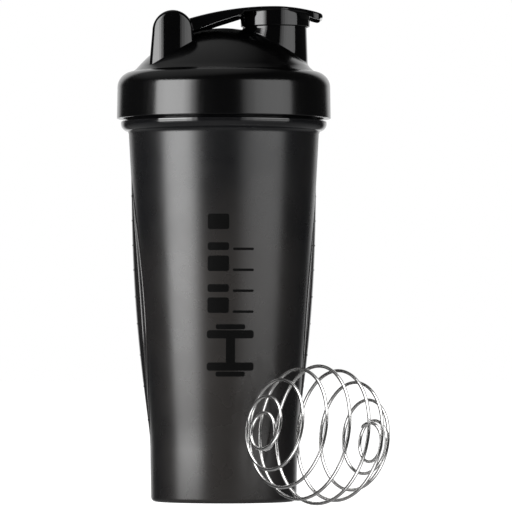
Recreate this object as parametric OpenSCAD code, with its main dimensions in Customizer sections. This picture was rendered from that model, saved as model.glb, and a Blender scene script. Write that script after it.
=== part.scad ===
// Shaker bottle with a screw lid, a flip cap over the spout and a wire mixing ball.
// Units are millimetres. The origin is the centre of the cup's foot, +Z is up,
// +X points from the hinge to the spout and -Y is the printed front.

/* [Cup] */
// Outer radius of the foot
foot_r = 32.5; // [32:0.1:33]
// Outer radius of the cup just below the bead
top_r = 42.57; // [42:0.01:43]
// Height at which the tapered wall meets the bead
bead_z = 164.9; // [164:0.1:166]
// Outward swell of the tapered wall at mid height
wall_swell = 0.7; // [0:0.1:1]
// Wall thickness of the cup
cup_wall = 1.8; // [1.6:0.1:2]
// Angle between the cup's grip panels and the X axis
cup_turn = 5; // [0:1:20]
// Height of the drinking rim without the lid
rim_z = 186; // [185.5:0.1:186]

/* [Lid] */
// Outer radius of the skirt at its lower edge
skirt_r = 47.9; // [47.7:0.1:48.5]
// Height of the skirt's lower edge
skirt_z = 171.2; // [171:0.1:172]
// Radius of the domed top
dome_r = 51.1; // [51:0.1:51.3]
// Height of the top of the dome
dome_z = 211.7; // [211.5:0.1:211.8]
// Distance of the spout from the cup's axis
spout_x = 23; // [22.8:0.1:23.2]
// Radius of the spout's bore
bore_r = 12.2; // [12.1:0.1:12.3]
// Rise of the lid for one full turn
thread_lead = 6.4; // [6:0.1:6.8]

/* [Flip cap] */
// Distance of the hinge from the cup's axis
hinge_x = -22.5; // [-22.7:0.1:-22.3]
// Height of the hinge
hinge_z = 210; // [209.9:0.1:210.2]
// Height of the highest point of the cap
cap_top_z = 220.7; // [220.6:0.1:220.9]
// Outer radius of the cap's round cover
cover_r = 15.5; // [15.4:0.1:15.7]

/* [Mixing ball] */
// Radius of the ball, measured to the middle of the wire
ball_r = 30; // [29:0.1:30.5]
// Stretch of the ball along its own axis
ball_stretch = 1.05; // [1:0.01:1.1]
// Diameter of the wire
wire_d = 1.5; // [1.2:0.1:1.8]
// Turns of wire from one end of the ball to the other
ball_turns = 9.7; // [9:0.1:10]

/* [Hidden] */
$fn = 96;

smoke_black = [0.10, 0.10, 0.11];
gloss_black = [0.04, 0.04, 0.045];
ink_black = [0.02, 0.02, 0.02];
seal_grey = [0.20, 0.20, 0.21];
steel = [0.78, 0.78, 0.80];

// ---- Cup: the tapered wall follows one formula, used by the wall, the panels and the print ----
foot_corner = 2;
foot_ring_inner_r = 27;
foot_recess = 1.6;
floor_t = 2.4;
taper_z = 28;                  // height at which the straight foot turns into the taper
taper_r = foot_r + 0.4;
inner_corner = 9;
bead_r = 46.1;
bead_top_z = 169.8;
neck_groove_r = 41.5;
neck_groove_top_z = 173.4;
neck_r = 42.6;
mouth_r = 39.8;

function swell(t) = 4 * wall_swell * t * (1 - t);
function taper_t(z) = (z - taper_z) / (bead_z - taper_z);
function wall_r(z) = taper_r + (top_r - taper_r) * taper_t(z) + swell(taper_t(z));

wall_steps = 14;
wall_zs = [for (i = [0:wall_steps]) taper_z + 4 + (bead_z - taper_z - 4) * i / wall_steps];

function arc(cx, cz, r, from, to, steps) =
    [for (i = [0:steps]) let (a = from + (to - from) * i / steps) [cx + r * cos(a), cz + r * sin(a)]];

cup_outline = concat(
    [[0, foot_recess], [foot_ring_inner_r - 1.6, foot_recess], [foot_ring_inner_r, 0]],
    arc(foot_r - foot_corner, foot_corner, foot_corner, -90, 0, 6),
    [[taper_r - 0.05, taper_z - 4]],
    [for (z = wall_zs) [wall_r(z), z]],
    arc(top_r, bead_z + 4, bead_r - top_r, -90, 0, 6),
    [
        [bead_r, bead_top_z - 0.4], [bead_r - 0.4, bead_top_z],
        [neck_groove_r, bead_top_z], [neck_groove_r, neck_groove_top_z - 1.1],
        [neck_r, neck_groove_top_z], [neck_r, rim_z - 0.6], [neck_r - 0.6, rim_z],
        [mouth_r + 0.5, rim_z], [mouth_r, rim_z - 0.5], [mouth_r, bead_top_z],
    ],
    [for (i = [wall_steps:-1:0]) [wall_r(wall_zs[i]) - cup_wall, wall_zs[i]]],
    arc(foot_r - cup_wall - inner_corner, floor_t + inner_corner, inner_corner, 0, -90, 6),
    [[0, floor_t]]
);

module cup_shell() {
    color(smoke_black) rotate_extrude() polygon(cup_outline);
}

// ---- Screw thread: one ridge swept up a right-hand helix, fading out at both ends ----
ridge_half = 1.05;             // half of the ridge's height where it meets the wall
crest_half = 0.5;
fade_angle = 24;
thread_step = 6;
lid_wall_r = 45;
cup_crest_r = 44.5;
root_bite = 0.15;
ridge_depth = cup_crest_r - neck_r + root_bite;
thread_z = 175.6;              // middle of the cup's ridge at angle 0
thread_play = 0.3;
// Distance between the middles of two ridges whose flanks are thread_play apart.
flank_pitch = 2 * ridge_half + thread_play
    - (ridge_half - crest_half) * (lid_wall_r - neck_r + 2 * root_bite) / ridge_depth;
cup_thread_angle = 480;
lid_thread_angle = 450;
lid_thread_start = 90;

function fade(a, total) = min(1, a / fade_angle, (total - a) / fade_angle);

module helix_ridge(root_r, crest_r, start, total, z0) {
    rings = round(total / thread_step);
    section = [for (i = [0:rings])
        let (
            a = i * total / rings,
            r = root_r + (crest_r - root_r) * max(0.06, fade(a, total)),
            z = z0 + thread_lead * (start + a) / 360
        )
        for (p = [[root_r, -ridge_half], [r, -crest_half], [r, crest_half], [root_r, ridge_half]])
            [p[0] * cos(start + a), p[0] * sin(start + a), z + p[1]]
    ];
    // An inward ridge has its crest on the other side, so its faces turn the other way round.
    outward = crest_r > root_r;
    sides = [for (i = [0:rings - 1]) for (k = [0:3])
        let (a = 4 * i + k, b = 4 * i + (k + 1) % 4)
        for (t = [[a, b, b + 4], [a, b + 4, a + 4]]) outward ? t : [t[2], t[1], t[0]]
    ];
    first = [0, 3, 2, 1];
    last = [for (k = [0:3]) 4 * rings + k];
    ends = outward ? [first, last] : [[1, 2, 3, 0], [last[3], last[2], last[1], last[0]]];
    polyhedron(section, concat(sides, ends), convexity = 6);
}

module cup_thread() {
    color(smoke_black)
        helix_ridge(neck_r - root_bite, cup_crest_r, 0, cup_thread_angle, thread_z);
}

module lid_thread() {
    color(gloss_black)
        helix_ridge(lid_wall_r + root_bite, lid_wall_r + root_bite - ridge_depth,
            lid_thread_start, lid_thread_angle, thread_z - flank_pitch);
}

// ---- Grip panels: a tall pointed oval that swells out of the taper on each side ----
panel_low_z = 29;
panel_high_z = 145;
panel_half_angle = 16.5;
panel_bite = 0.5;              // how far the panel's back lies inside the wall
panel_rise = 1.75;
panel_rings = 22;
step_share = 0.78;             // width of the raised field, as a share of the panel's width
panel_step = 0.27;             // height of the rim's step, as a share of the rise
panel_crown = 0.46;            // how much of the rise is the field's bulge

function panel_s(z) = (z - panel_low_z) / (panel_high_z - panel_low_z);
function panel_width(z) = panel_half_angle * pow(max(0, sin(180 * panel_s(z))), 0.85);
function panel_height(z) = panel_rise * max(0, sin(180 * panel_s(z)));
// The rim of the oval rises in a short slope to a low step, and then to the bulging field.
function panel_profile(u) = let (v = abs(u))
    v > 0.999 ? 0 : v > step_share ? panel_step : 1 - panel_crown * pow(v / step_share, 2);

panel_us = [-1, -0.95, -0.8, -0.75, -0.35, 0, 0.35, 0.75, 0.8, 0.95, 1];
panel_zs = [for (i = [0:panel_rings])
    panel_low_z + 0.7 + (panel_high_z - panel_low_z - 1.4) * i / panel_rings];

module grip_panel(turn) {
    front = [for (z = panel_zs) for (u = panel_us)
        let (
            a = u * panel_width(z),
            r = wall_r(z) + panel_profile(u) * panel_height(z) - (abs(u) > 0.999 ? 0.05 : 0)
        )
        [r * cos(a), r * sin(a), z]
    ];
    back = [for (z = panel_zs) for (u = panel_us)
        let (a = u * panel_width(z), r = wall_r(z) - panel_bite)
        [r * cos(a), r * sin(a), z]
    ];
    cols = len(panel_us);
    count = len(front);
    quads = [for (i = [0:panel_rings - 1]) for (k = [0:cols - 2])
        let (a = cols * i + k, b = a + 1, c = b + cols, d = a + cols)
        for (q = [
            [a, c, b], [a, d, c],
            [count + a, count + b, count + c], [count + a, count + c, count + d],
        ]) q
    ];
    side = [for (i = [0:panel_rings - 1]) for (k = [0, cols - 1])
        let (a = cols * i + k, d = a + cols)
        for (t = [[a, count + a, count + d], [a, count + d, d]]) k == 0 ? t : [t[2], t[1], t[0]]
    ];
    top = cols * panel_rings;
    caps = [for (k = [0:cols - 2])
        for (t = [
            [k, k + 1, count + k + 1], [k, count + k + 1, count + k],
            [top + k + 1, top + k, count + top + k], [top + k + 1, count + top + k, count + top + k + 1],
        ]) t
    ];
    rotate(turn) polyhedron(concat(front, back), concat(quads, side, caps), convexity = 4);
}

module grip_panel_left() {
    color(smoke_black) grip_panel(180 + cup_turn);
}

module grip_panel_right() {
    color(smoke_black) grip_panel(cup_turn);
}

// ---- Volume marks: a raised tick for every 50 ml, at the height where the cup holds that much ----
mark_ml = 50;
first_mark = 2;
last_mark = 10;
mark_t = 0.8;
mark_proud = 0.2;
volume_step = 1;

function slice_ml(z) = PI * pow(wall_r(z) - cup_wall, 2) * volume_step / 1000;
function height_of(ml, z = floor_t + 1, held = 0) =
    held >= ml ? z : height_of(ml, z + volume_step, held + slice_ml(max(z, taper_z)));

module volume_marks() {
    color(smoke_black)
        for (side = [0, 180]) for (i = [first_mark:last_mark]) {
            z = height_of(i * mark_ml);
            long = i % 2 == 0;
            half = wall_r(z) * sin(panel_width(z) * (long ? 0.5 : 0.3));
            face_x = wall_r(z) + panel_height(z);
            rotate(side + cup_turn) translate([face_x - 1.2, -half, z - mark_t / 2])
                cube([1.2 + mark_proud, 2 * half, mark_t]);
        }
}

// ---- Front print: plain blocks above a dumbbell sign, as a film on the tapered wall ----
print_low_z = 56;
print_half_w = 10.5;
film_in = 0.02;
film_t = 0.12;
film_reach = 40;

module bar(x, z, w, h) {
    translate([x - w / 2, z]) square([w, h]);
}

module print_2d() {
    for (i = [0:4]) bar(-5.6, 84 + 9.2 * i, 9.4, i % 2 == 0 ? 6.8 : 3.4);
    for (i = [0:3]) bar(5.6, 84 + 9.2 * i, 9.4, 1.1);
    bar(0, print_low_z + 6, 4, 11);
    for (side = [0, 1]) {
        bar(0, print_low_z + 2.6 + side * 14.2, 2 * print_half_w, 3.6);
        bar(0, print_low_z + side * 20.8, 13, 2.2);
    }
}

module front_mark() {
    color(ink_black) rotate(cup_turn) intersection() {
        rotate_extrude() polygon(concat(
            [for (z = wall_zs) [wall_r(z) + film_in, z]],
            [for (i = [wall_steps:-1:0]) [wall_r(wall_zs[i]) + film_in + film_t, wall_zs[i]]]
        ));
        rotate([90, 0, 0]) translate([0, 0, film_reach / 4]) linear_extrude(film_reach) print_2d();
    }
}

// ---- Lid ----
gasket_t = 1.6;
gasket_play = 0.1;
ceiling_z = rim_z + gasket_t + gasket_play;
shoulder_z = 192.1;
shoulder_corner = 7;
lid_t = 2.2;
lip_outer_r = 38.8;
lip_inner_r = 37.4;
lip_z = 183;
dome_centre_z = dome_z - dome_r;
spout_foot_r = 14.7;
spout_top_r = 14.1;
spout_rim_z = 216.3;
spout_collar_h = 4.5;          // the spout is straight this far below its rim, and tapers below that
ear_round_r = 9.1;
ear_face_r = 17.5;
ear_face_y = 24.2;
ear_slot_half = 17.5;
ear_lean = 1.7;
ear_head_drop = 0.7;           // how far the round head is centred below the hinge
ear_low_z = 190;
pin_r = 1.5;
pin_half = 20.5;
pin_play = 0.05;

shoulder_r = skirt_r - 0.25 - shoulder_corner;
ear_half_foot = ear_round_r + ear_lean;
ear_foot_z = ear_low_z - hinge_z + ear_head_drop;

function dome_r_angle(r, big_r) = acos(r / big_r);

lid_outline = concat(
    [[lid_wall_r, skirt_z], [skirt_r - 0.4, skirt_z], [skirt_r, skirt_z + 0.4]],
    arc(shoulder_r, shoulder_z - shoulder_corner, shoulder_corner, 0, 90, 8),
    arc(0, dome_centre_z, dome_r, dome_r_angle(shoulder_r - 0.3, dome_r), 90, 16),
    arc(0, dome_centre_z, dome_r - lid_t, 90, dome_r_angle(lip_inner_r, dome_r - lid_t), 14),
    [
        [lip_inner_r, lip_z], [lip_outer_r, lip_z], [lip_outer_r, ceiling_z],
        [lid_wall_r, ceiling_z],
    ]
);

// Seen from the side an ear is a round head on a shank that widens downwards.
module ear_side() {
    polygon(concat(
        [[-ear_half_foot, ear_foot_z], [ear_half_foot, ear_foot_z]],
        arc(0, -ear_head_drop, ear_round_r, 0, 180, 24)
    ));
}

module ears() {
    intersection() {
        translate([hinge_x, ear_face_y + 1, hinge_z]) rotate([90, 0, 0])
            linear_extrude(2 * ear_face_y + 2) ear_side();
        for (side = [-1, 1]) intersection() {
            translate([hinge_x, side * (ear_face_y - ear_face_r), ear_low_z])
                cylinder(h = 40, r = ear_face_r);
            translate([hinge_x - 20, side > 0 ? ear_slot_half : -ear_slot_half - 20, ear_low_z])
                cube([40, 20, 40]);
        }
    }
}

module inside_of_lid() {
    rotate_extrude() polygon(concat(
        [
            [0, skirt_z - 1], [lid_wall_r - 3, skirt_z - 1],
            [lid_wall_r - 3, ceiling_z], [lip_inner_r, ceiling_z],
        ],
        arc(0, dome_centre_z, dome_r - lid_t, dome_r_angle(lip_inner_r, dome_r - lid_t), 90, 14)
    ));
}

module lid_shell() {
    color(gloss_black) difference() {
        union() {
            rotate_extrude() polygon(lid_outline);
            difference() {
                union() {
                    translate([spout_x, 0, ear_low_z])
                        cylinder(h = spout_rim_z - spout_collar_h - ear_low_z,
                            r1 = spout_foot_r, r2 = spout_top_r);
                    translate([spout_x, 0, spout_rim_z - spout_collar_h - 0.1])
                        cylinder(h = spout_collar_h + 0.1, r = spout_top_r);
                    ears();
                }
                inside_of_lid();
            }
        }
        translate([spout_x, 0, ear_low_z]) cylinder(h = 40, r = bore_r);
        translate([hinge_x, pin_half + 0.3, hinge_z]) rotate([90, 0, 0])
            cylinder(h = 2 * pin_half + 0.6, r = pin_r + pin_play);
    }
}

module lid_gasket() {
    color(seal_grey) translate([0, 0, rim_z]) difference() {
        cylinder(h = gasket_t, r = neck_r + 1.6);
        translate([0, 0, -1]) cylinder(h = gasket_t + 2, r = lip_outer_r + 0.3);
    }
}

// ---- Flip cap: an arched channel with a round cover, a plug and a thumb tab ----
arm_left_r = 134;
arm_right_r = 70;
arm_web = 2;
arm_half_w = 17.1;
cover_low_z = 212.3;
cover_roof_z = 217.3;
cover_inner_r = 14.7;
plug_top_r = 11.75;
plug_low_r = 11.3;
plug_inner_r = 9.6;
plug_low_z = 213.4;
tab_x = 44.2;
knuckle_r = 2.8;
flange_t = 1.6;

// Height of the arched top above x, from a long arc towards the hinge and a short one to the tab.
function arch_z(x) = let (d = x - spout_x, r = d < 0 ? arm_left_r : arm_right_r)
    cap_top_z - r + sqrt(r * r - d * d);

arch_xs = [for (i = [0:12]) hinge_x + (spout_x - hinge_x) * i / 12];
tail_xs = [for (i = [1:6]) spout_x + (tab_x - spout_x) * i / 6];
all_xs = concat(arch_xs, tail_xs);

module slab(half) {
    translate([0, half, 0]) rotate([90, 0, 0]) linear_extrude(2 * half) children();
}

module arch_side(web) {
    polygon(concat(
        [for (x = all_xs) [x, arch_z(x)]],
        [for (i = [len(all_xs) - 1:-1:0]) [all_xs[i], arch_z(all_xs[i]) - web]]
    ));
}

// Side flanges hang from the web: deep at the hinge, gone at the cover.
module flange_side() {
    polygon([
        [hinge_x, arch_z(hinge_x) - 0.5], [spout_x - 12, arch_z(spout_x - 12) - 0.5],
        [spout_x - 14.5, 217.1], [-3.3, 213.4], [-14.5, 209.1],
        [hinge_x + 3, 207.6], [hinge_x, 207.3],
    ]);
}

module plan_2d() {
    translate([spout_x, 0]) circle(r = cover_r + 0.1);
    polygon([
        [hinge_x, -arm_half_w], [0, -arm_half_w + 0.3], [spout_x, -cover_r - 0.1],
        [spout_x, cover_r + 0.1], [0, arm_half_w - 0.3], [hinge_x, arm_half_w],
    ]);
    hull() {
        translate([spout_x + 4, 0]) circle(r = 14.5, $fn = 48);
        for (side = [-1, 1]) translate([tab_x - 5, side * 8.6]) circle(r = 5, $fn = 32);
    }
}

module arm() {
    intersection() {
        union() {
            slab(20) arch_side(arm_web);
            for (side = [-1, 1]) translate([0, side * (arm_half_w - flange_t / 2), 0])
                slab(flange_t / 2) flange_side();
            translate([spout_x, 0, cover_low_z]) cylinder(h = 8, r = cover_r);
        }
        intersection() {
            translate([0, 0, 200]) linear_extrude(30) plan_2d();
            slab(20) polygon(concat(
                [[tab_x + 1, 200], [hinge_x - 1, 200]],
                [for (x = all_xs) [x, arch_z(x)]],
                [[tab_x + 1, arch_z(tab_x)]]
            ));
        }
    }
    translate([hinge_x, 0, hinge_z]) slab(arm_half_w) circle(r = knuckle_r);
}

module flip_cap() {
    color(gloss_black) difference() {
        union() {
            difference() {
                arm();
                translate([spout_x, 0, cover_low_z - 1])
                    cylinder(h = cover_roof_z - cover_low_z + 1, r = cover_inner_r);
            }
            translate([spout_x, 0, plug_low_z])
                cylinder(h = cover_roof_z - plug_low_z + 0.2, r1 = plug_low_r, r2 = plug_top_r);
        }
        translate([spout_x, 0, plug_low_z - 1])
            cylinder(h = cover_roof_z - plug_low_z + 1, r = plug_inner_r);
        translate([hinge_x, arm_half_w + 1, hinge_z]) rotate([90, 0, 0])
            cylinder(h = 2 * arm_half_w + 2, r = pin_r);
    }
}

module cap_seal() {
    color(seal_grey) translate([spout_x, 0, spout_rim_z + 0.1]) difference() {
        cylinder(h = cover_roof_z - spout_rim_z - 0.1, r = cover_inner_r);
        translate([0, 0, -1]) cylinder(h = 4, r = plug_top_r + 0.2);
    }
}

module hinge_pin() {
    color(steel) translate([hinge_x, pin_half, hinge_z]) rotate([90, 0, 0])
        cylinder(h = 2 * pin_half, r = pin_r);
}

// ---- Mixing ball: one wire wound as a left-hand spiral on a slightly long sphere ----
ball_x = 41.3;
ball_y = -51.5;
ball_axis_turn = 36;           // turn of the ball's axis away from X, in plan
ball_axis_dip = 7;             // dip of the ball's far end
ball_phase = -97;              // where the wire crosses the equator, from the top
wire_pitch = 19.27;            // degrees of latitude gained in one turn near the equator
steady_turns = 3.6;            // turns on each side of the equator that keep this pitch
last_latitude = 4.3;           // latitude that the end coils still gain beyond them
tuck_start = 3.9;              // turn from which an end coil is pressed inwards
tuck_depth = 3;
near_start = 3.7;              // turn from which the coil at the near end is narrower and lower
near_reach = 0.6;
near_narrow = 0.22;             // share taken off that coil's width
near_flat = 0.07;               // share taken off its height
near_drop = 1.6;
wire_sides = 6;
rings_per_turn = 34;
ball_rings = round(ball_turns * rings_per_turn);

// Latitude at a number of turns from the equator: steady at first, and then levelling off.
function latitude(turns) = wire_pitch * min(turns, steady_turns)
    + last_latitude * (1 - exp(-max(0, turns - steady_turns) * wire_pitch / last_latitude));
function smooth(t) = let (c = max(0, min(1, t))) c * c * (3 - 2 * c);
function tuck(turns) = tuck_depth * smooth((turns - tuck_start) / (ball_turns / 2 - tuck_start));

function ball_local(t) = let (
        turn = ball_turns * (t - 0.5),
        lat = sign(turn) * latitude(abs(turn)),
        a = ball_phase - 360 * turn,
        near = smooth((-turn - near_start) / near_reach),
        p = ball_r * [ball_stretch * sin(lat), -cos(lat) * sin(a), cos(lat) * cos(a)]
    ) [
        p[0] - sign(turn) * tuck(abs(turn)),
        p[1] * (1 - near_narrow * near),
        p[2] * (1 - near_flat * near) - near_drop * near,
    ];

// Turned so that the local X axis dips and then swings round in plan.
function turned(p) = let (
        x = p[0] * cos(ball_axis_dip) + p[2] * sin(ball_axis_dip),
        z = -p[0] * sin(ball_axis_dip) + p[2] * cos(ball_axis_dip)
    ) [x * cos(ball_axis_turn) - p[1] * sin(ball_axis_turn),
       x * sin(ball_axis_turn) + p[1] * cos(ball_axis_turn), z];

ball_path = [for (i = [0:ball_rings]) turned(ball_local(i / ball_rings))];
ball_z = wire_d / 2 - min([for (p = ball_path) p[2]]);

function unit(v) = v / norm(v);
function along(i) = unit(ball_path[min(i + 1, ball_rings)] - ball_path[max(i - 1, 0)]);

module mixing_ball() {
    points = [for (i = [0:ball_rings])
        let (
            p = ball_path[i],
            out = unit(p - (p * along(i)) * along(i)),
            side = cross(along(i), out)
        )
        for (k = [0:wire_sides - 1])
            let (a = 360 * k / wire_sides, r = wire_d / 2)
            p + [ball_x, ball_y, ball_z] + r * (cos(a) * out + sin(a) * side)
    ];
    sides = [for (i = [0:ball_rings - 1]) for (k = [0:wire_sides - 1])
        let (
            a = wire_sides * i + k,
            b = wire_sides * i + (k + 1) % wire_sides
        )
        for (t = [[a, b + wire_sides, b], [a, a + wire_sides, b + wire_sides]]) t
    ];
    start_cap = [for (k = [0:wire_sides - 1]) k];
    end_cap = [for (k = [wire_sides - 1:-1:0]) wire_sides * ball_rings + k];
    color(steel) polyhedron(points, concat(sides, [start_cap, end_cap]), convexity = 20);
}

cup_shell();
cup_thread();
grip_panel_left();
grip_panel_right();
volume_marks();
front_mark();
lid_gasket();
lid_shell();
lid_thread();
flip_cap();
cap_seal();
hinge_pin();
mixing_ball();
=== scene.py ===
"""Shaker bottle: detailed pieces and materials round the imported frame.

Lengths are in millimetres and angles in degrees, and meshes are turned into metres when they are made.
"""
import math

import bmesh
import bpy
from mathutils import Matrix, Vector


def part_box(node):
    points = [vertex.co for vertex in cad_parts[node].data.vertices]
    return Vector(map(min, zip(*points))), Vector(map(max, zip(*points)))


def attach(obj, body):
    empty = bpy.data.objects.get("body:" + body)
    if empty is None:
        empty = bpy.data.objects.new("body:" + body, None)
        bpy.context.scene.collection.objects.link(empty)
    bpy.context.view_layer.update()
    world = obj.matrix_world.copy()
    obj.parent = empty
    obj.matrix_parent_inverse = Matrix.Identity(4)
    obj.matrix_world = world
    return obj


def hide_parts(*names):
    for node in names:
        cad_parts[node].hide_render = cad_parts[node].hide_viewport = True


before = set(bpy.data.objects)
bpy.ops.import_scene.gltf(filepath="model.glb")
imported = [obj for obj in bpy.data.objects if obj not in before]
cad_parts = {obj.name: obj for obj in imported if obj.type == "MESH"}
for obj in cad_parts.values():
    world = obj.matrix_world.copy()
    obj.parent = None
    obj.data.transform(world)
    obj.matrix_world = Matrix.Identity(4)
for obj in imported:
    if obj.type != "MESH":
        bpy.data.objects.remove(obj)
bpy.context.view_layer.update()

MM = 0.001


def sin(degrees):
    return math.sin(math.radians(degrees))


def cos(degrees):
    return math.cos(math.radians(degrees))


def box_mm(node):
    low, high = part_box(node)
    return low / MM, high / MM


def smooth(t):
    """0 below 0, 1 above 1 and an S-curve between."""
    t = min(1, max(0, t))
    return t * t * (3 - 2 * t)


def spread(low, high, count):
    """count + 1 even values from low to high."""
    return [low + (high - low) * i / count for i in range(count + 1)]


# ---- Sizes that come from the frame ----
lid_low, lid_high = box_mm("lid_shell")
cap_low, cap_high = box_mm("flip_cap")
cup_high = box_mm("cup_shell")[1]
pin_low, pin_high = box_mm("hinge_pin")
seal_low, seal_high = box_mm("cap_seal")
gasket_low, gasket_high = box_mm("lid_gasket")
ball_low, ball_high = box_mm("mixing_ball")

rim_z = cup_high.z
bead_r = cup_high.x
skirt_r = lid_high.x
skirt_z = lid_low.z
hinge_x = (pin_low.x + pin_high.x) / 2
hinge_z = (pin_low.z + pin_high.z) / 2
spout_x = (seal_low.x + seal_high.x) / 2
cap_top_z = cap_high.z
tab_x = cap_high.x
arm_half_w = cap_high.y

# ---- Sizes shared by several pieces ----
cup_turn = 5
foot_r = 32.5
taper_z, taper_r = 28, 32.9
bead_z, top_r = 164.9, 42.57
bead_top_z = 169.8
wall_swell = 0.7
ease_h = 9
cup_wall = 1.8
neck_r = 42.6
mouth_r = 39.8
lid_wall_r = 45
dome_r = 51.1
dome_z = 211.7
dome_centre_z = dome_z - dome_r
lid_t = 2.2
bore_r = 12.2
spout_rim_z = 216.3
cover_r = 15.5

# Slope of the wall above the taper's start, and how much it changes there.
taper_slope = (top_r - taper_r + 4 * wall_swell) / (bead_z - taper_z)
ease_slope = taper_slope - (taper_r - foot_r) / taper_z


def wall_r(z):
    """Outer radius of the cup's tapered wall, eased where the taper starts."""
    t = min(1, max(0, (z - taper_z) / (bead_z - taper_z)))
    straight = foot_r + (taper_r - foot_r) * z / taper_z
    tapered = taper_r + (top_r - taper_r) * t + 4 * wall_swell * t * (1 - t)
    if z < taper_z - ease_h:
        return straight
    if z > taper_z + ease_h:
        return tapered
    share = (z - taper_z + ease_h) / (2 * ease_h)
    return straight + (ease_slope * ease_h) * share * share


def dome_height(x, y, depth=0):
    """Height of the dome, or of a surface that lies depth below it, above (x, y)."""
    big = dome_r - depth
    return dome_centre_z + math.sqrt(max(0, big * big - x * x - y * y))


# ---- Outlines and meshes ----
def rounded(corners, steps=5, closed=True):
    """An outline through (a, b) corners, where a corner (a, b, radius) is rounded with an arc."""
    outline = []
    count = len(corners)
    for i, corner in enumerate(corners):
        here = Vector(corner[:2])
        at_end = not closed and i in (0, count - 1)
        if len(corner) < 3 or at_end:
            outline.append(here)
            continue
        to_last = (Vector(corners[i - 1][:2]) - here).normalized()
        to_next = (Vector(corners[(i + 1) % count][:2]) - here).normalized()
        half = to_last.angle(to_next) / 2
        reach = corner[2] / math.tan(half)
        centre = here + (to_last + to_next).normalized() * corner[2] / math.sin(half)
        start = here + to_last * reach - centre
        turn = start.angle_signed(here + to_next * reach - centre)
        for step in range(steps + 1):
            angle = -turn * step / steps
            outline.append(centre + Vector((
                start.x * math.cos(angle) - start.y * math.sin(angle),
                start.x * math.sin(angle) + start.y * math.cos(angle))))
    return [(p.x, p.y) for p in outline]


def arc(centre_a, centre_b, radius, start, end, steps):
    """Points of an arc, with its angles in degrees."""
    return [(centre_a + radius * cos(a), centre_b + radius * sin(a)) for a in spread(start, end, steps)]


def loft(rings, ring_closed=True, rings_closed=False, capped=False):
    """Points and faces of the skin through equal rings of points."""
    size = len(rings[0])
    points = [p for ring in rings for p in ring]
    faces = []
    for i in range(len(rings) if rings_closed else len(rings) - 1):
        here, after = i * size, (i + 1) % len(rings) * size
        for k in range(size if ring_closed else size - 1):
            n = (k + 1) % size
            faces.append((here + k, here + n, after + n, after + k))
    if capped:
        faces.append(tuple(range(size)))
        faces.append(tuple(range(len(points) - size, len(points))))
    return points, faces


def make_mesh(name, parts, sharp=40):
    """A shaded mesh object in metres, from one or more (points, faces) in millimetres."""
    points, faces = [], []
    for some_points, some_faces in parts:
        start = len(points)
        points += [Vector(p) * MM for p in some_points]
        faces += [tuple(start + i for i in face) for face in some_faces]
    mesh = bpy.data.meshes.new(name)
    mesh.from_pydata(points, [], faces)
    clean(mesh)
    mesh.shade_smooth()
    mesh.set_sharp_from_angle(angle=math.radians(sharp))
    piece = bpy.data.objects.new(name, mesh)
    bpy.context.scene.collection.objects.link(piece)
    return piece


def clean(mesh, merge=2e-6):
    """Joins points that coincide, drops empty faces and turns all faces outwards."""
    bm = bmesh.new()
    bm.from_mesh(mesh)
    bmesh.ops.remove_doubles(bm, verts=bm.verts, dist=merge)
    bmesh.ops.dissolve_degenerate(bm, dist=merge / 10, edges=bm.edges)
    bmesh.ops.recalc_face_normals(bm, faces=bm.faces)
    bm.to_mesh(mesh)
    bm.free()


def finish_piece(piece, body, material, stands_for=()):
    """Gives a piece its material, its body and the CAD nodes that it replaces."""
    piece.data.materials.clear()
    piece.data.materials.append(material)
    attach(piece, body)
    if stands_for:
        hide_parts(*stands_for)
    return piece


def lathe(profile, centre_x=0, segments=160, closed=True):
    """A skin of revolution about a vertical axis, from (radius, height) points."""
    rings = [[(centre_x + r * cos(a), r * sin(a), z) for r, z in profile]
             for a in spread(0, 360, segments)[:-1]]
    return loft(rings, ring_closed=closed, rings_closed=True)


def cut_hole(piece, centre_x, radius, low, high):
    """Cuts an upright round hole through a piece."""
    profile = [(0, low), (radius, low), (radius, high), (0, high)]
    cutter = make_mesh("cutter", [lathe(profile, centre_x, 96, closed=False)])
    cut = piece.modifiers.new("hole", "BOOLEAN")
    cut.object = cutter
    cut.operation = "DIFFERENCE"
    cut.solver = "EXACT"
    graph = bpy.context.evaluated_depsgraph_get()
    piece.data = bpy.data.meshes.new_from_object(piece.evaluated_get(graph))
    piece.modifiers.clear()
    bpy.data.objects.remove(cutter)


def sweep(path, section):
    """A tube along a path; section gives the ring of points for a point's number, place and direction."""
    rings = []
    last = len(path) - 1
    for i, point in enumerate(path):
        ahead = (Vector(path[min(i + 1, last)]) - Vector(path[max(i - 1, 0)])).normalized()
        rings.append(section(i, Vector(point), ahead))
    return loft(rings, capped=True)


# ---- Materials ----
def new_material(name, colour, roughness, metallic=0):
    """A Principled material with its constants on the shader's own sockets."""
    material = bpy.data.materials.new(name)
    material.use_nodes = True
    shader = material.node_tree.nodes["Principled BSDF"]
    shader.inputs["Base Color"].default_value = (*colour, 1)
    shader.inputs["Roughness"].default_value = roughness
    shader.inputs["Metallic"].default_value = metallic
    return material


def node(material, kind, **values):
    """A shader node with input values set by name, with spaces written as underscores."""
    made = material.node_tree.nodes.new(kind)
    for key, value in values.items():
        made.inputs[key.replace("_", " ")].default_value = value
    return made


def link(material, out_socket, in_socket):
    material.node_tree.links.new(out_socket, in_socket)


def shader_of(material):
    return material.node_tree.nodes["Principled BSDF"]


def noise(material, scale, detail=4, stretch=(1, 1, 1), roughness=0.5):
    """Object-space noise, with its scale in waves per metre."""
    place = node(material, "ShaderNodeTexCoord")
    mapping = node(material, "ShaderNodeMapping", Scale=stretch)
    texture = node(material, "ShaderNodeTexNoise", Scale=scale, Detail=detail, Roughness=roughness)
    link(material, place.outputs["Object"], mapping.inputs["Vector"])
    link(material, mapping.outputs["Vector"], texture.inputs["Vector"])
    return texture.outputs["Fac"]


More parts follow.
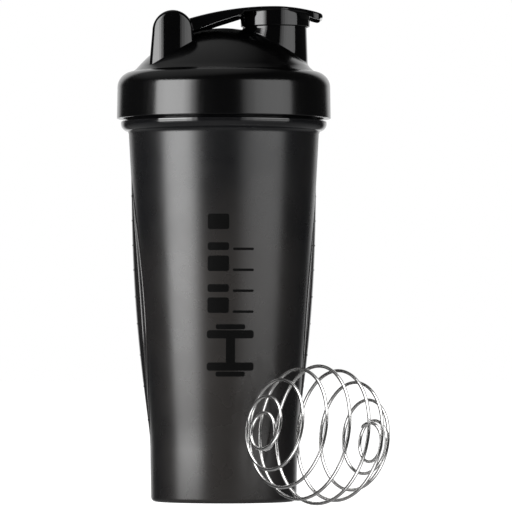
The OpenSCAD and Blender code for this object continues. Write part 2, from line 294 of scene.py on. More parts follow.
def remap(material, value, from_low, from_high, to_low, to_high):
    """Maps a value from one range to another, clamped."""
    made = node(material, "ShaderNodeMapRange", From_Min=from_low, From_Max=from_high,
                To_Min=to_low, To_Max=to_high)
    link(material, value, made.inputs["Value"])
    return made.outputs["Result"]


def mixed(material, factor, colour_a, colour_b):
    """A colour between two, by a factor."""
    made = node(material, "ShaderNodeMix")
    made.data_type = "RGBA"
    colours = [socket for socket in made.inputs if socket.type == "RGBA"]
    colours[0].default_value = (*colour_a, 1)
    colours[1].default_value = (*colour_b, 1)
    link(material, factor, made.inputs["Factor"])
    return next(socket for socket in made.outputs if socket.type == "RGBA")


def bumped(material, height, depth, previous=None):
    """Adds a bump of a depth in metres to the shader."""
    made = node(material, "ShaderNodeBump", Strength=1, Distance=depth)
    link(material, height, made.inputs["Height"])
    if previous:
        link(material, previous, made.inputs["Normal"])
    link(material, made.outputs["Normal"], shader_of(material).inputs["Normal"])
    return made.outputs["Normal"]


def height_in(material):
    """The object-space height, in metres."""
    place = node(material, "ShaderNodeTexCoord")
    parts = node(material, "ShaderNodeSeparateXYZ")
    link(material, place.outputs["Object"], parts.inputs["Vector"])
    return parts.outputs["Z"]


def calculated(material, operation, a, b):
    """A sum or product of two values."""
    made = node(material, "ShaderNodeMath")
    made.operation = operation
    link(material, a, made.inputs[0])
    link(material, b, made.inputs[1])
    return made.outputs["Value"]


def added(material, a, b):
    return calculated(material, "ADD", a, b)


def multiplied(material, a, b):
    return calculated(material, "MULTIPLY", a, b)


def front_and_back(material):
    """1 where a surface faces along the object's Y axis, falling to 0 at its sides."""
    place = node(material, "ShaderNodeTexCoord")
    parts = node(material, "ShaderNodeSeparateXYZ")
    link(material, place.outputs["Normal"], parts.inputs["Vector"])
    return multiplied(material, parts.outputs["Y"], parts.outputs["Y"])


def smoke_plastic():
    """Dark smoky plastic: satin wall, with painted light that makes it warmer and paler low on its front and
    back, painted shade that leaves its sides and upper wall darker, and a polished neck.
    """
    made = new_material("smoke_plastic", (0.008, 0.008, 0.008), 0.27)
    shader = shader_of(made)
    height = height_in(made)
    # Painted light: this mask is 1 low down on the surfaces that face front and back, and 0 on the sides and
    # upper wall, which stay dark as painted shade.
    painted_light_mask = multiplied(made, remap(made, height, 0.151, 0.104, 0, 1), front_and_back(made))
    mottle = remap(made, noise(made, 38, 3), 0.35, 0.65, -0.12, 0.12)
    # The base colour mixes random mottle with the painted light and painted shade of the mask above.
    tint = mixed(made, added(made, painted_light_mask, mottle), (0.0034, 0.0035, 0.0040), (0.0165, 0.0148, 0.0138))
    link(made, tint, shader.inputs["Base Color"])
    satin = remap(made, noise(made, 60, 5), 0.3, 0.7, 0.25, 0.31)
    polished = made.node_tree.nodes.new("ShaderNodeAttribute")
    polished.attribute_name = "polish"
    smoother = remap(made, polished.outputs["Fac"], 0, 1, 0, -0.17)
    link(made, added(made, satin, smoother), shader.inputs["Roughness"])
    grain = bumped(made, noise(made, 5200, 2), 0.0000016)
    bumped(made, noise(made, 90, 2), 0.000006, grain)
    return made


def gloss_plastic(name, roughness):
    """Black gloss plastic with faint sink ripple and fine wiping scratches."""
    made = new_material(name, (0.0005, 0.0005, 0.0006), roughness)
    shader = shader_of(made)
    wiped = noise(made, 420, 6, stretch=(1, 1, 0.06), roughness=0.7)
    scratches = remap(made, wiped, 0.5, 0.78, roughness, roughness + 0.06)
    link(made, scratches, shader.inputs["Roughness"])
    bloom = mixed(made, noise(made, 70, 3), (0.0003, 0.0003, 0.0004), (0.0009, 0.0009, 0.0010))
    link(made, bloom, shader.inputs["Base Color"])
    ripple = bumped(made, noise(made, 120, 2), 0.000005)
    bumped(made, noise(made, 2600, 2), 0.0000004, ripple)
    return made


def polished_rim():
    """The bead's flame-polished upper edge, which mirrors the softboxes."""
    made = new_material("polished_rim", (0.004, 0.004, 0.0045), 0.05)
    shader_of(made).inputs["IOR"].default_value = 1.75
    link(made, remap(made, noise(made, 300, 4), 0.3, 0.7, 0.03, 0.08), shader_of(made).inputs["Roughness"])
    bumped(made, noise(made, 150, 2), 0.000003)
    return made


def print_film():
    """Matt black print with a slightly uneven coat."""
    made = new_material("print_film", (0.0012, 0.0012, 0.0012), 0.5)
    shader_of(made).inputs["Specular IOR Level"].default_value = 0.08
    coat = remap(made, noise(made, 900, 4), 0.3, 0.7, 0.48, 0.62)
    link(made, coat, shader_of(made).inputs["Roughness"])
    bumped(made, noise(made, 2400, 3), 0.000004)
    return made


def seal_rubber():
    """Dark grey rubber with a fine dry bloom."""
    made = new_material("seal_rubber", (0.03, 0.03, 0.031), 0.65)
    tint = mixed(made, noise(made, 260, 5), (0.022, 0.022, 0.023), (0.042, 0.042, 0.044))
    link(made, tint, shader_of(made).inputs["Base Color"])
    bumped(made, noise(made, 3200, 3), 0.000006)
    return made


def wire_steel():
    """Polished stainless wire with drawing lines and soft clouding."""
    made = new_material("wire_steel", (0.78, 0.775, 0.765), 0.24, metallic=1)
    shader = shader_of(made)
    clouds = noise(made, 160, 4)
    link(made, mixed(made, clouds, (0.70, 0.695, 0.685), (0.84, 0.835, 0.83)), shader.inputs["Base Color"])
    link(made, remap(made, noise(made, 900, 5), 0.3, 0.7, 0.13, 0.24), shader.inputs["Roughness"])
    bumped(made, noise(made, 2400, 4), 0.000006)
    return made


smoke = smoke_plastic()
gloss = gloss_plastic("gloss_plastic", 0.07)
soft_gloss = gloss_plastic("soft_gloss_plastic", 0.17)
rim_gloss = polished_rim()
film = print_film()
rubber = seal_rubber()
steel = wire_steel()

# ---- Cup: one skin whose columns follow the outline of the grip panels ----
panel_low_z, panel_high_z = 29, 145
panel_half_angle = 16.5
panel_rise = 1.75
panel_step = 0.14
panel_crown = 0.72
step_u = 0.66
step_run = 0.024
narrowest_panel = 0.6


def panel_share(z):
    return min(1, max(0, (z - panel_low_z) / (panel_high_z - panel_low_z)))


def panel_width(z):
    """Half-angle of a grip panel at a height."""
    return max(narrowest_panel, panel_half_angle * sin(180 * panel_share(z)) ** 0.85)


def panel_height(u, z):
    """How far a panel stands out at u, its own sideways coordinate from -1 to 1.

    The rim rises in a short slope, and a second one leads up to the bulging field.
    """
    out = abs(u)
    rim = panel_step * min(1, max(0, (1 - out) / step_run))
    field = (1 - panel_step - panel_crown) * min(1, max(0, (step_u - out) / step_run))
    bulge = panel_crown * max(0, 1 - (out / step_u) ** 2)
    return panel_rise * sin(180 * panel_share(z)) * (rim + field + bulge)


# Sideways places of the mesh's columns: close together where the panel's edges are.
panel_us = spread(0, 0.6, 8) + spread(0.63, 0.666, 8) + spread(0.72, 0.95, 5) + spread(0.97, 1, 6)
beyond = spread(0, 1, 26)[1:]


def column_angle(side, sign, place, z):
    """Angle of a column at a height: along the panel's outline, then evenly to a quarter turn."""
    width = panel_width(z)
    kind, value = place
    angle = value * width if kind == "panel" else width + value * (90 - width)
    return side + cup_turn + sign * angle


def cup_columns():
    """(side, sign, place) of every column, once round the cup."""
    places = [("panel", u) for u in panel_us] + [("beyond", v) for v in beyond]
    columns = []
    for side in (0, 180):
        columns += [(side, 1, place) for place in places]
        columns += [(side + 180, -1, place) for place in reversed(places[1:-1])]
    return columns


def cup_profile():
    """(radius, height, is on the panelled wall) points from the middle of the foot to the inner floor."""
    foot = rounded([(0, 1.6), (25.4, 1.6, 0.8), (27.2, 0, 0.6), (foot_r, 0, 2), (foot_r + 0.35, 22)],
                   steps=6, closed=False)
    wall = [(wall_r(z), z) for z in spread(24, bead_z - 0.5, 170)]
    quarter = bead_r - top_r
    bead = arc(top_r, bead_z + 4, quarter, -82, 0, 10)
    neck = rounded([
        (bead_r, bead_z + 4), (bead_r - 0.25, bead_z + 4.03, 0.02), (bead_r - 0.25, bead_z + 4.16, 0.02),
        (bead_r - 0.05, bead_z + 4.2, 0.04), (bead_r - 0.05, bead_top_z, 0.15), (41.5, bead_top_z, 0.5),
        (41.5, 172.4, 0.4),
        (neck_r, 173.4, 0.4), (neck_r, rim_z, 0.9), (mouth_r, rim_z, 0.9), (mouth_r, bead_top_z, 4),
        (wall_r(158) - cup_wall, 158)], closed=False)[1:-1]
    inside = [(wall_r(z) - cup_wall, z) for z in spread(158, 14, 30)]
    floor = rounded([(foot_r - cup_wall, 14), (foot_r - cup_wall, 2.4, 9), (0, 2.4)], closed=False)[1:]
    profile = [(r, z, False) for r, z in foot[:-1]] + [(r, z, True) for r, z in wall]
    return profile + [(r, z, False) for r, z in bead + neck + inside + floor]


def cup_skin():
    profile = cup_profile()
    rings = []
    for side, sign, place in cup_columns():
        ring = []
        for r, z, panelled in profile:
            angle = column_angle(side, sign, place, z)
            if panelled and place[0] == "panel":
                r += panel_height(place[1], z)
            ring.append((r * cos(angle), r * sin(angle), z))
        rings.append(ring)
    return loft(rings, ring_closed=False, rings_closed=True)


def polish_cup(piece):
    """Marks the panels, the bead and the neck as polished, for the material."""
    amount = piece.data.attributes.new("polish", "FLOAT", "POINT")
    for vertex in piece.data.vertices:
        x, y, z = vertex.co / MM
        around = (math.degrees(math.atan2(y, x)) - cup_turn + 90) % 180 - 90
        on_panel = panel_share(z) not in (0, 1) and abs(around) <= 1.04 * panel_width(z)
        amount.data[vertex.index].value = 1 if on_panel or z > bead_z else 0


cup = make_mesh("cup_body", [cup_skin()], sharp=60)
polish_cup(cup)
finish_piece(cup, "cup", smoke, ["cup_shell", "grip_panel_left", "grip_panel_right"])


# ---- Threads ----
thread_lead = 6.4
thread_z = 175.6
ridge_half, crest_half = 1.05, 0.5
fade_angle = 24


def thread(root_r, crest_r, start, total, z0):
    """A ridge along a right-hand helix, with a rounded crest, that fades out at both ends."""
    rings = []
    for along in spread(0, total, total // 3):
        fade = smooth(min(along, total - along) / fade_angle)
        crest = root_r + (crest_r - root_r) * max(0.06, fade)
        edge = root_r + (crest - root_r) * 0.82
        outline = [(root_r, -ridge_half), (edge, -crest_half - 0.1), (crest, -crest_half + 0.18),
                   (crest, crest_half - 0.18), (edge, crest_half + 0.1), (root_r, ridge_half)]
        angle = start + along
        z = z0 + thread_lead * angle / 360
        rings.append([(r * cos(angle), r * sin(angle), z + dz) for r, dz in outline])
    return loft(rings, capped=True)


root_bite = 0.15
ridge_depth = 2.05
flank_pitch = 1.68
cup_root_r, lid_root_r = neck_r - root_bite, lid_wall_r + root_bite
cup_helix = thread(cup_root_r, cup_root_r + ridge_depth, 0, 480, thread_z)
lid_helix = thread(lid_root_r, lid_root_r - ridge_depth, 90, 450, thread_z - flank_pitch)
cup_ridge = make_mesh("cup_thread_ridge", [cup_helix])
finish_piece(cup_ridge, "cup", smoke, ["cup_thread"])
lid_ridge = make_mesh("lid_thread_ridge", [lid_helix])
finish_piece(lid_ridge, "lid", gloss, ["lid_thread"])


# ---- Polished edge on top of the bead ----
rim_low, rim_high = bead_z + 4.24, bead_top_z - 0.12
rim_ring = lathe([(bead_r - 0.2, rim_low), (bead_r - 0.02, rim_low + 0.03), (bead_r, rim_low + 0.1),
                  (bead_r, rim_high - 0.1), (bead_r - 0.02, rim_high - 0.03), (bead_r - 0.2, rim_high)],
                 segments=240)
rim_band = make_mesh("bead_rim", [rim_ring])
finish_piece(rim_band, "cup", rim_gloss)


# ---- Volume marks: raised ticks that follow the panels, at the heights of the CAD ticks ----
tick_half_t = 0.4
tick_proud = 0.1
tick_bite = 0.15


def tick_heights():
    """Heights of the ticks' middles, lowest first."""
    levels = sorted({round(v.co.z / MM, 2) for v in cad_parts["volume_marks"].data.vertices})
    return [(low + high) / 2 for low, high in zip(levels[::2], levels[1::2])]


def tick(side, z, reach):
    """One tick across a panel, reach being its half-length as a share of the panel's width."""
    section = [(-tick_bite, -1), (0.5 * tick_proud, -0.95), (0.9 * tick_proud, -0.6), (tick_proud, 0),
               (0.9 * tick_proud, 0.6), (0.5 * tick_proud, 0.95), (-tick_bite, 1)]
    rings = []
    for t in spread(-1, 1, 20):
        slim = math.sqrt(max(0.02, 1 - abs(t) ** 8))
        angle = side + cup_turn + t * reach * panel_width(z)
        ring = []
        for out, up in section:
            level = z + up * tick_half_t * slim
            r = wall_r(level) + panel_height(t * reach, level) + (out * slim if out > 0 else out)
            ring.append((r * cos(angle), r * sin(angle), level))
        rings.append(ring)
    return loft(rings, capped=True)


ticks = [tick(side, z, 0.5 if i % 2 == 0 else 0.3) for side in (0, 180) for i, z in enumerate(tick_heights())]
marks = make_mesh("volume_ticks", ticks)
finish_piece(marks, "cup", smoke, ["volume_marks"])


# ---- Front print: rounded blocks and a dumbbell, laid on the tapered wall ----
film_proud = 0.09
film_bite = 0.05
print_low_z = 56
print_half_w = 10.5


def print_bar(x, z, width, height, corner):
    """A rounded bar centred on x across and standing on z."""
    corner = min(corner, width / 2 - 0.01, height / 2 - 0.01)
    rings = []
    ends = spread(0, 1, 6)
    offsets = [-width / 2 + corner * (1 - cos(90 * t)) for t in ends]
    offsets += spread(-width / 2 + corner, width / 2 - corner, 8)[1:-1]
    offsets += [width / 2 - corner * (1 - cos(90 * t)) for t in reversed(ends)]
    for offset in offsets:
        into = max(0, corner - (width / 2 - abs(offset)))
        trim = corner - math.sqrt(max(0, corner * corner - into * into))
        low, high = z + trim, z + height - trim
        ring = []
        for level, proud in ((low, -film_bite), (low, film_proud), (high, film_proud), (high, -film_bite)):
            r = wall_r(level) + proud
            angle = -90 + cup_turn + math.degrees((x + offset) / r)
            ring.append((r * cos(angle), r * sin(angle), level))
        rings.append(ring)
    return loft(rings, capped=True)


def print_bars():
    bars = [print_bar(-5.6, 84 + 9.2 * i, 9.4, 6.8 if i % 2 == 0 else 3.4, 1.0) for i in range(5)]
    bars += [print_bar(5.6, 84 + 9.2 * i, 9.4, 1.1, 0.5) for i in range(4)]
    bars.append(print_bar(0, print_low_z + 6, 4, 11, 0.2))
    for side in (0, 1):
        bars.append(print_bar(0, print_low_z + 2.6 + side * 14.2, 2 * print_half_w, 3.6, 1.2))
        bars.append(print_bar(0, print_low_z + side * 20.8, 13, 2.2, 0.8))
    return bars


mark = make_mesh("front_print", print_bars(), sharp=30)
finish_piece(mark, "cup", film, ["front_mark"])


# ---- Lid body: skirt, shoulder, dome and sealing lip in one skin, with a hole for the spout ----
shoulder_z = 192.1
shoulder_corner = 7
shoulder_r = skirt_r - 0.25 - shoulder_corner
lip_outer_r, lip_inner_r, lip_z = 38.8, 37.4, 183
ceiling_z = gasket_high.z + 0.1
hole_r = 13.2
hole_low_z, hole_high_z = 190, 220


def angle_on_dome(r, depth=0):
    return math.degrees(math.acos(r / (dome_r - depth)))


def lid_profile():
    """(radius, height) points from the axis under the dome, by the lip and skirt, to the dome's top."""
    foot_of_dome = math.sqrt(dome_r ** 2 - (shoulder_z - dome_centre_z) ** 2)
    start = math.degrees(math.asin((shoulder_z - dome_centre_z) / dome_r))
    skirt = rounded([(lid_wall_r, 180), (lid_wall_r, skirt_z, 0.4), (skirt_r, skirt_z, 0.25),
                     (skirt_r - 0.25, 184)], closed=False)[1:-1]
    shoulder = arc(shoulder_r, shoulder_z - shoulder_corner, shoulder_corner, 0, 84, 14)
    next_on_dome = arc(0, dome_centre_z, dome_r, start + 2.4, start + 2.4, 1)[0]
    cove = rounded([shoulder[-1], (foot_of_dome + 0.5, shoulder_z + 0.03, 1.1), next_on_dome],
                   steps=6, closed=False)[1:-1]
    dome = arc(0, dome_centre_z, dome_r, start + 2.4, 90, 60)
    under = arc(0, dome_centre_z, dome_r - lid_t, 90, angle_on_dome(lip_inner_r, lid_t), 44)
    lip = rounded([under[-1], (lip_inner_r, lip_z, 0.5), (lip_outer_r, lip_z, 0.5),
                   (lip_outer_r, ceiling_z, 0.6), (lid_wall_r, ceiling_z, 0.6), (lid_wall_r, 180)],
                  closed=False)[1:]
    return under + lip + skirt + shoulder + cove + dome


lid = make_mesh("lid_body", [lathe(lid_profile(), segments=240, closed=False)], sharp=50)
cut_hole(lid, spout_x, hole_r, hole_low_z, hole_high_z)
clean(lid.data)
lid.data.shade_smooth()
lid.data.set_sharp_from_angle(angle=math.radians(50))


# ---- Spout: a tube that flares into the dome ----
spout_top_r, spout_foot_r = 14.1, 14.6
spout_straight_z = 211.4
flare = 0.9


def spout_skin():
    rings = []
    for a in spread(0, 360, 144)[:-1]:
        def at(r, z):
            return (spout_x + r * cos(a), r * sin(a), z)

        def on_dome(r, depth=0.0):
            return dome_height(spout_x + r * cos(a), r * sin(a), depth)

        foot = [(spout_foot_r + flare * (1 - sin(t)), on_dome(spout_foot_r + flare * (1 - sin(t))) - 0.04
                 + flare * (1 - cos(t))) for t in spread(0, 90, 7)]
        foot_z = foot[-1][1]
        rise = [(spout_foot_r + (spout_top_r - spout_foot_r) * t, foot_z + (spout_straight_z - foot_z) * t)
                for t in spread(0, 1, 8)[1:]]
        rim = rounded([(spout_top_r, spout_straight_z), (spout_top_r, spout_rim_z, 0.55),
                       (bore_r, spout_rim_z, 0.55), (bore_r, 210)], closed=False)[1:-1]
        bottom = [(bore_r, on_dome(bore_r, lid_t) - 0.3), (hole_r + 0.3, on_dome(hole_r + 0.3, lid_t) - 0.3),
                  (hole_r + 0.5, on_dome(hole_r + 0.5) - 0.6)]
        rings.append([at(r, z) for r, z in foot + rise + rim + bottom])
    return loft(rings, ring_closed=True, rings_closed=True)


spout = make_mesh("lid_spout", [spout_skin()], sharp=50)


# ---- Hinge ears: rounded plates with a bowed outer face, standing on the dome ----
ear_round_r = 9.1
ear_face_r = 17.5
ear_face_y = 24.2
ear_inner_y = 17.5
ear_lean = 1.7
ear_low_z = 190
ear_edge = 1.5
ear_sink = 1.2


def ear_outline():
    """The side outline, up the left, over the round head and down the right."""
    foot = ear_low_z - hinge_z + 0.7
    left = [(-ear_round_r - ear_lean * (1 - t), foot + (-0.7 - foot) * t) for t in spread(0, 1, 24)[:-1]]
    right = [(-x, z) for x, z in reversed(left)]
    return left + arc(0, -0.7, ear_round_r, 180, 0, 40) + right


def ear_skin(side):
    outline = ear_outline()

    def inset(depth):
        """The outline moved inwards, by scaling it about the middle of the head."""
        scale = 1 - depth / ear_round_r
        return [(x * scale, z * scale if z > -0.7 else z) for x, z in outline]

    def face_y(x):
        return ear_face_y - ear_face_r + math.sqrt(ear_face_r ** 2 - x * x)

    layers = []
    for depth in (8.6, 6, 3.5):
        layers.append((inset(depth), lambda x: ear_inner_y))
    for t in spread(90, 0, 5):
        layers.append((inset(0.5 * (1 - cos(t))), lambda x, t=t: ear_inner_y + 0.5 * (1 - sin(t))))
    for t in spread(0, 90, 8):
        layers.append((inset(ear_edge * (1 - cos(t))), lambda x, t=t: face_y(x) - ear_edge * (1 - sin(t))))
    for depth in (2.2, 3.2, 4.4, 5.8, 7.2, 8.6):
        layers.append((inset(depth), face_y))
    rings = []
    for points, depth_at in layers:
        ring = []
        for x, z in points:
            y = side * depth_at(x)
            floor_z = dome_height(hinge_x + x, y) - ear_sink
            ring.append((hinge_x + x, y, max(hinge_z + z, floor_z)))
        rings.append(ring)
    return loft(rings, capped=True)


ears = make_mesh("lid_ears", [ear_skin(-1), ear_skin(1)], sharp=50)

finish_piece(lid, "lid", soft_gloss, ["lid_shell"])
finish_piece(spout, "lid", gloss)
finish_piece(ears, "lid", gloss)


# ---- Lid gasket ----
def ring_profile(inner, outer, low, high, corner):
    return rounded([(inner, low, corner), (outer, low, corner), (outer, high, corner), (inner, high, corner)])


gasket_inner_r = 39.1
gasket_section = ring_profile(gasket_inner_r, gasket_high.x, gasket_low.z, gasket_high.z, 0.5)
gasket = make_mesh("gasket_ring", [lathe(gasket_section)])
finish_piece(gasket, "gasket", rubber, ["lid_gasket"])


# ---- Flip cap ----
arm_web = 2
flange_t = 1.6
arch_left_r, arch_right_r = 134, 70
cover_low_z = cap_low.z + 5
cover_inner_r = 14.7
cover_roof_z = seal_high.z
plug_low_z = 213.4
plug_top_r, plug_low_r, plug_inner_r = 11.75, 11.3, 9.6
knuckle_r = 2.8
tab_lip = 1.2
tab_corner_x = tab_x - 5
tab_half_w = 13.6


def arch_z(x):
    """Height of the cap's arched top."""
    d = x - spout_x
    big = arch_left_r if d < 0 else arch_right_r
    return cap_top_z - big + math.sqrt(big * big - d * d)


def arm_half(x):
    """Half the width of the cap's plate."""
    if x < spout_x:
        share = (x - hinge_x) / (spout_x - hinge_x)
        return arm_half_w - (arm_half_w - cover_r - 0.1) * share
    disc = math.sqrt(max(0, (cover_r + 0.1) ** 2 - (x - spout_x) ** 2))
    if x < tab_corner_x:
        tab = tab_half_w + 0.9 * smooth((tab_corner_x - x) / 10)
    else:
        tab = tab_half_w - 5 + math.sqrt(max(0, 25 - (x - tab_corner_x) ** 2))
    return max(disc, min(tab, cover_r + 0.1))


def flange_z(x):
    """Height of the flange's lower edge."""
    stops = [(hinge_x, 207.3), (hinge_x + 3, 207.7), (-14.5, 209.1), (-3.3, 213.4), (8.5, 217.1)]
    web = arch_z(x) - arm_web
    if x >= stops[-1][0]:
        return web - tab_lip * smooth((x - spout_x - cover_r + 2) / 3) * smooth((tab_x - x) / 2.5)
    for (x0, z0), (x1, z1) in zip(stops, stops[1:]):
        if x <= x1:
            return min(web, z0 + (z1 - z0) * (x - x0) / (x1 - x0))
    return web


def arm_section(x):
    """The plate's cross-section: a web with rounded shoulders, and a flange under each edge."""
    half = arm_half(x)
    top = arch_z(x)
    shoulder = 0.9
    web = arm_web
    near_tip = tab_x - x
    if near_tip < 0.9:
        rounding = 0.9 * (1 - math.sqrt(max(0, 1 - (1 - near_tip / 0.9) ** 2)))
        top -= rounding
        web = max(0.12, arm_web - 2 * rounding)
        shoulder = min(shoulder, 0.45 * web)
    under = top - web
    low = min(flange_z(x), under - 0.01) if near_tip > 0.9 else under - 0.01
    lip = min(0.35, (under - low) / 2 + 0.02)
    right = [(0, top), (half * 0.5, top)]
    right += [(half - shoulder + shoulder * sin(a), top - shoulder + shoulder * cos(a))
              for a in spread(0, 90, 6)]
    edge = min(shoulder, max(lip, web - shoulder - (under - low)))
    right += [(half - edge + edge * cos(a), low + edge - edge * sin(a)) for a in spread(0, 90, 5)]
    inner = half - flange_t
    right += [(inner + lip, low), (inner + lip * 0.3, low + lip * 0.3), (inner, low + lip),
              (inner - 0.02, under - lip * 0.5), (inner - 0.6, under), (half * 0.4, under), (0, under)]
    left = [(-y, z) for y, z in reversed(right[1:-1])]
    return [(x, y, z) for y, z in right + left]


def arm_skin():
    stations = spread(hinge_x, tab_corner_x, 90) + spread(tab_corner_x, tab_x - 0.9, 14)[1:]
    stations += [tab_x - 0.9 * (1 - sin(a)) for a in spread(0, 90, 7)[1:]]
    return loft([arm_section(x) for x in stations], capped=True)


def cover_skin():
    """The round cover: its skirt reaches up into the arched plate, and a hollow plug hangs from its roof."""
    rings = []
    for a in spread(0, 360, 144)[:-1]:
        crown = arch_z(spout_x + cover_r * cos(a)) - 0.9
        skirt = rounded([(0, crown), (cover_r, crown), (cover_r, cover_low_z, 0.35),
                         (cover_inner_r, cover_low_z, 0.3),
                         (cover_inner_r, cover_roof_z, 0.3), (plug_top_r, cover_roof_z, 0.3),
                         (plug_low_r, plug_low_z, 0.6), (plug_inner_r, plug_low_z, 0.5),
                         (plug_inner_r, cover_roof_z, 0.6), (0, cover_roof_z)], closed=False)
        rings.append([(spout_x + r * cos(a), r * sin(a), z) for r, z in skirt])
    return loft(rings, ring_closed=False, rings_closed=True)


def knuckle_skin():
    half = arm_half_w
    outline = rounded([(0, -half), (knuckle_r, -half, 0.5), (knuckle_r, half, 0.5), (0, half)], closed=False)
    rings = [[(hinge_x + r * cos(a), y, hinge_z + r * sin(a)) for r, y in outline]
             for a in spread(0, 360, 48)[:-1]]
    return loft(rings, ring_closed=False, rings_closed=True)


arm = make_mesh("cap_arm", [arm_skin()], sharp=45)
cover = make_mesh("cap_cover", [cover_skin()], sharp=45)
knuckle = make_mesh("cap_knuckle", [knuckle_skin()], sharp=45)
for part in (arm, cover, knuckle):
    finish_piece(part, "flip_cap", gloss, ["flip_cap"] if part is arm else [])

washer_section = ring_profile(plug_top_r + 0.2, cover_inner_r, seal_low.z, seal_high.z, 0.3)
washer = make_mesh("cap_seal_ring", [lathe(washer_section, spout_x, 112)])
finish_piece(washer, "flip_cap", rubber, ["cap_seal"])

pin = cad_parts["hinge_pin"]
pin.data.materials.clear()
pin.data.materials.append(steel)

# ---- Mixing ball: one wire in a left-hand spiral, with its ends tucked inside ----
ball_r = 30
ball_stretch = 1.05
wire_r = 0.75
ball_turns = 9.7
ball_phase = -97
wire_pitch = 19.27
steady_turns = 3.6
last_latitude = 4.3
tuck_start = 3.9
near_tuck, far_tuck = 3, 2.3
near_start, near_reach = 3.7, 0.6
near_narrow, near_flat, near_drop = 0.22, 0.07, 1.6
axis_turn, axis_dip = 36, 7
steps_per_turn = 84
wire_sides = 12


def ball_point(turn):
    """A point of the wire's middle line, turn being counted from the equator.

    The latitude is gained steadily at first and then levels off, and the end coils are pressed inwards.
    """
    past = max(0, abs(turn) - steady_turns)
    latitude = wire_pitch * min(abs(turn), steady_turns)
    latitude += last_latitude * (1 - math.exp(-past * wire_pitch / last_latitude))
    latitude = math.copysign(latitude, turn)
    tucked = smooth((abs(turn) - tuck_start) / (ball_turns / 2 - tuck_start))
    tuck = (far_tuck if turn > 0 else near_tuck) * tucked
    around = ball_phase - 360 * turn
    local = Vector((
        ball_stretch * sin(latitude),
        -cos(latitude) * sin(around),
        cos(latitude) * cos(around))) * ball_r
    near = smooth((-turn - near_start) / near_reach)
    local.x -= math.copysign(tuck, turn)
    local.y *= 1 - near_narrow * near
    local.z = local.z * (1 - near_flat * near) - near_drop * near
    dipped = Vector((local.x * cos(axis_dip) + local.z * sin(axis_dip), local.y,
                     -local.x * sin(axis_dip) + local.z * cos(axis_dip)))
    return Vector((dipped.x * cos(axis_turn) - dipped.y * sin(axis_turn),
                   dipped.x * sin(axis_turn) + dipped.y * cos(axis_turn), dipped.z))


def ball_path():
    reach = ball_turns / 2
    path = [ball_point(turn) for turn in spread(-reach, reach, int(ball_turns * steps_per_turn))]
    low = Vector([min(p[k] for p in path) for k in range(3)])
    high = Vector([max(p[k] for p in path) for k in range(3)])
    shift = (ball_low + ball_high) / 2 - (low + high) / 2
    shift.z = ball_low.z + wire_r - low.z
    return [p + shift for p in path]


def wire_section(count):
    def section(i, point, ahead):
        end = min(i, count - 1 - i)
        slim = wire_r * (0.35, 0.8, 0.97)[end] if end < 3 else wire_r
        side = ahead.cross(Vector((0, 0, 1))).normalized()
        up = side.cross(ahead)
        return [point + side * slim * cos(a) + up * slim * sin(a) for a in spread(0, 360, wire_sides)[:-1]]
    return section


wire_path = ball_path()
ball = make_mesh("whisk_ball_wire", [sweep(wire_path, wire_section(len(wire_path)))], sharp=60)
finish_piece(ball, "ball", steel, ["mixing_ball"])


# ---- Studio ----
def add_floor():
    half = 6
    mesh = bpy.data.meshes.new("floor")
    corners = [(-half, -half, 0), (half, -half, 0), (half, half, 0), (-half, half, 0)]
    mesh.from_pydata(corners, [], [(0, 1, 2, 3)])
    floor = bpy.data.objects.new("floor", mesh)
    bpy.context.scene.collection.objects.link(floor)
    pale = new_material("floor_pale", (0.5, 0.5, 0.5), 0.9)
    shader = shader_of(pale)
    shader.inputs["Specular IOR Level"].default_value = 0
    shader.inputs["Emission Color"].default_value = (1, 1, 1, 1)
    shader.inputs["Emission Strength"].default_value = 1
    mesh.materials.append(pale)
    floor.visible_glossy = False
    floor.visible_shadow = False


def light_group(name, pieces, shares):
    """A collection for light linking, in which the pieces are included or left out."""
    group = bpy.data.collections.new(name)
    for piece in pieces:
        group.objects.link(piece)
    for member in group.collection_objects:
        member.light_linking.link_state = "INCLUDE" if shares else "EXCLUDE"
    return group


def add_panel(name, place, facing, width, height, radiance, group):
    """A rectangular light, unseen by the camera, that faces a point."""
    light = bpy.data.lights.new(name, "AREA")
    light.shape = "RECTANGLE"
    light.size, light.size_y = width, height
    light.energy = radiance * math.pi * width * height
    lamp = bpy.data.objects.new(name, light)
    lamp.location = place
    lamp.rotation_euler = (Vector(facing) - Vector(place)).to_track_quat("-Z", "Y").to_euler()
    lamp.visible_camera = False
    lamp.light_linking.receiver_collection = group
    bpy.context.scene.collection.objects.link(lamp)


def add_softbox(name, strips, foot, group):
    """A softbox bent round the bottle, of (azimuth from, to, radiance) strips, with a dim tier below foot.

    Azimuth 0 is in front of the bottle, and it grows to the right.
    """
    distance = 1.2
    for tier, (low, high, share) in enumerate(((foot, 0.62, 1), (-0.5, foot, 0.12))):
        for number, (start, end, radiance) in enumerate(strips):
            middle = (start + end) / 2
            width = 2 * distance * math.tan(math.radians((end - start) / 2))
            level = (low + high) / 2
            place = (distance * sin(middle), -distance * cos(middle), level)
            add_panel(f"{name}_{tier}_{number}", place, (0, 0, level), width, high - low,
                      radiance * share, group)


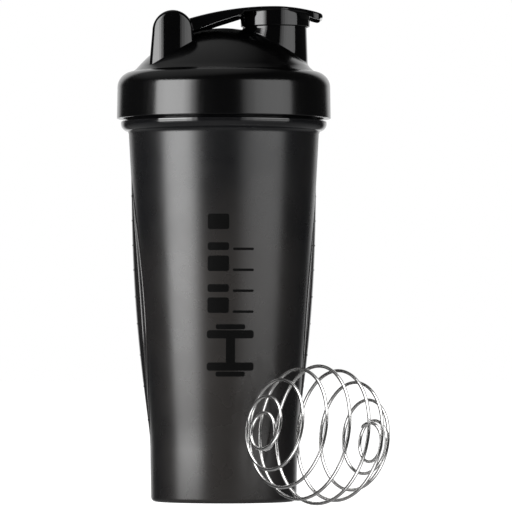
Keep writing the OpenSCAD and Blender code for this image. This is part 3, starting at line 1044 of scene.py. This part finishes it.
def add_world():
    """White for the camera; for reflections dark, with a white backdrop behind and a dim light above."""
    world = bpy.data.worlds.new("studio")
    bpy.context.scene.world = world
    world.use_nodes = True
    tree = world.node_tree
    tree.nodes.clear()

    def add(kind, **values):
        made = tree.nodes.new(kind)
        for key, value in values.items():
            made.inputs[key.replace("_", " ")].default_value = value
        return made

    def math_node(operation, a, b):
        made = tree.nodes.new("ShaderNodeMath")
        made.operation = operation
        for socket, value in zip(made.inputs, (a, b)):
            if isinstance(value, (int, float)):
                socket.default_value = value
            else:
                tree.links.new(value, socket)
        return made.outputs["Value"]

    def ramp(value, low, high, top):
        made = add("ShaderNodeMapRange", From_Min=low, From_Max=high, To_Min=0, To_Max=top)
        made.interpolation_type = "SMOOTHSTEP"
        tree.links.new(value, made.inputs["Value"])
        return made.outputs["Result"]

    place = add("ShaderNodeTexCoord")
    axes = add("ShaderNodeSeparateXYZ")
    tree.links.new(place.outputs["Generated"], axes.inputs["Vector"])
    lifted = math_node("MULTIPLY", axes.outputs["Z"], 0.3)
    behind = ramp(math_node("ADD", axes.outputs["Y"], lifted), 0.80, 0.94, 1.0)
    overhead = add("ShaderNodeVectorMath")
    overhead.operation = "DOT_PRODUCT"
    overhead.inputs[1].default_value = (-0.36, 0.10, 0.93)
    tree.links.new(place.outputs["Generated"], overhead.inputs[0])
    above = ramp(overhead.outputs["Value"], 0.6, 1.0, 0.33)
    below = ramp(math_node("MULTIPLY", axes.outputs["Z"], -1), 0.05, 0.6, 0.25)
    around = math_node("MAXIMUM", behind, above)
    seen_in_gloss = math_node("MAXIMUM", around, math_node("MAXIMUM", below, 0.03))
    ray = add("ShaderNodeLightPath")
    fill = 0.35
    other = math_node("ADD", math_node("MULTIPLY", ray.outputs["Is Glossy Ray"], seen_in_gloss),
                      math_node("MULTIPLY", math_node("SUBTRACT", 1, ray.outputs["Is Glossy Ray"]), fill))
    strength = math_node("MAXIMUM", ray.outputs["Is Camera Ray"], other)
    background = add("ShaderNodeBackground", Color=(1, 1, 1, 1))
    tree.links.new(strength, background.inputs["Strength"])
    output = add("ShaderNodeOutputWorld")
    tree.links.new(background.outputs["Background"], output.inputs["Surface"])


def add_camera():
    camera = bpy.data.objects.new("camera", bpy.data.cameras.new("camera"))
    aim_x = 0.0144
    place, target = Vector((aim_x, -2.1, 0.0717)), Vector((aim_x, 0, 0.1097))
    camera.location = place
    camera.rotation_euler = (target - place).to_track_quat("-Z", "Y").to_euler()
    camera.data.sensor_width = 36
    camera.data.lens = 329.9
    camera.data.clip_start, camera.data.clip_end = 0.05, 50
    bpy.context.scene.collection.objects.link(camera)
    bpy.context.scene.camera = camera


add_floor()
not_ball = light_group("lit_by_softboxes", [ball], False)
only_ball = light_group("lit_by_ball_lights", [ball], True)
add_softbox("softbox_left", [(-76.5, -66, 8.0), (-66, -41, 8.9), (-41, -35, 6.5), (-35, -29, 2.5)],
            -0.14, not_ball)
add_softbox("softbox_right", [(20, 25, 0.9), (25, 33, 1.6), (33, 42, 2.3), (42, 68, 2.55), (68, 77, 2.3)],
            -0.09, not_ball)
ball_middle = (0.042, -0.052, 0.031)
add_panel("ball_top", (0.0, -0.5, 1.0), ball_middle, 1.5, 1.1, 4.0, only_ball)
add_panel("ball_left", (-1.0, -0.5, 0.25), ball_middle, 0.45, 0.5, 2.2, only_ball)
add_panel("ball_right", (1.0, -0.25, 0.45), ball_middle, 0.4, 0.5, 2.0, only_ball)
add_panel("ball_low", (0.0, -0.75, -0.6), ball_middle, 1.3, 0.6, 2.2, only_ball)
add_world()
add_camera()
bpy.context.scene.view_settings.view_transform = "Standard"
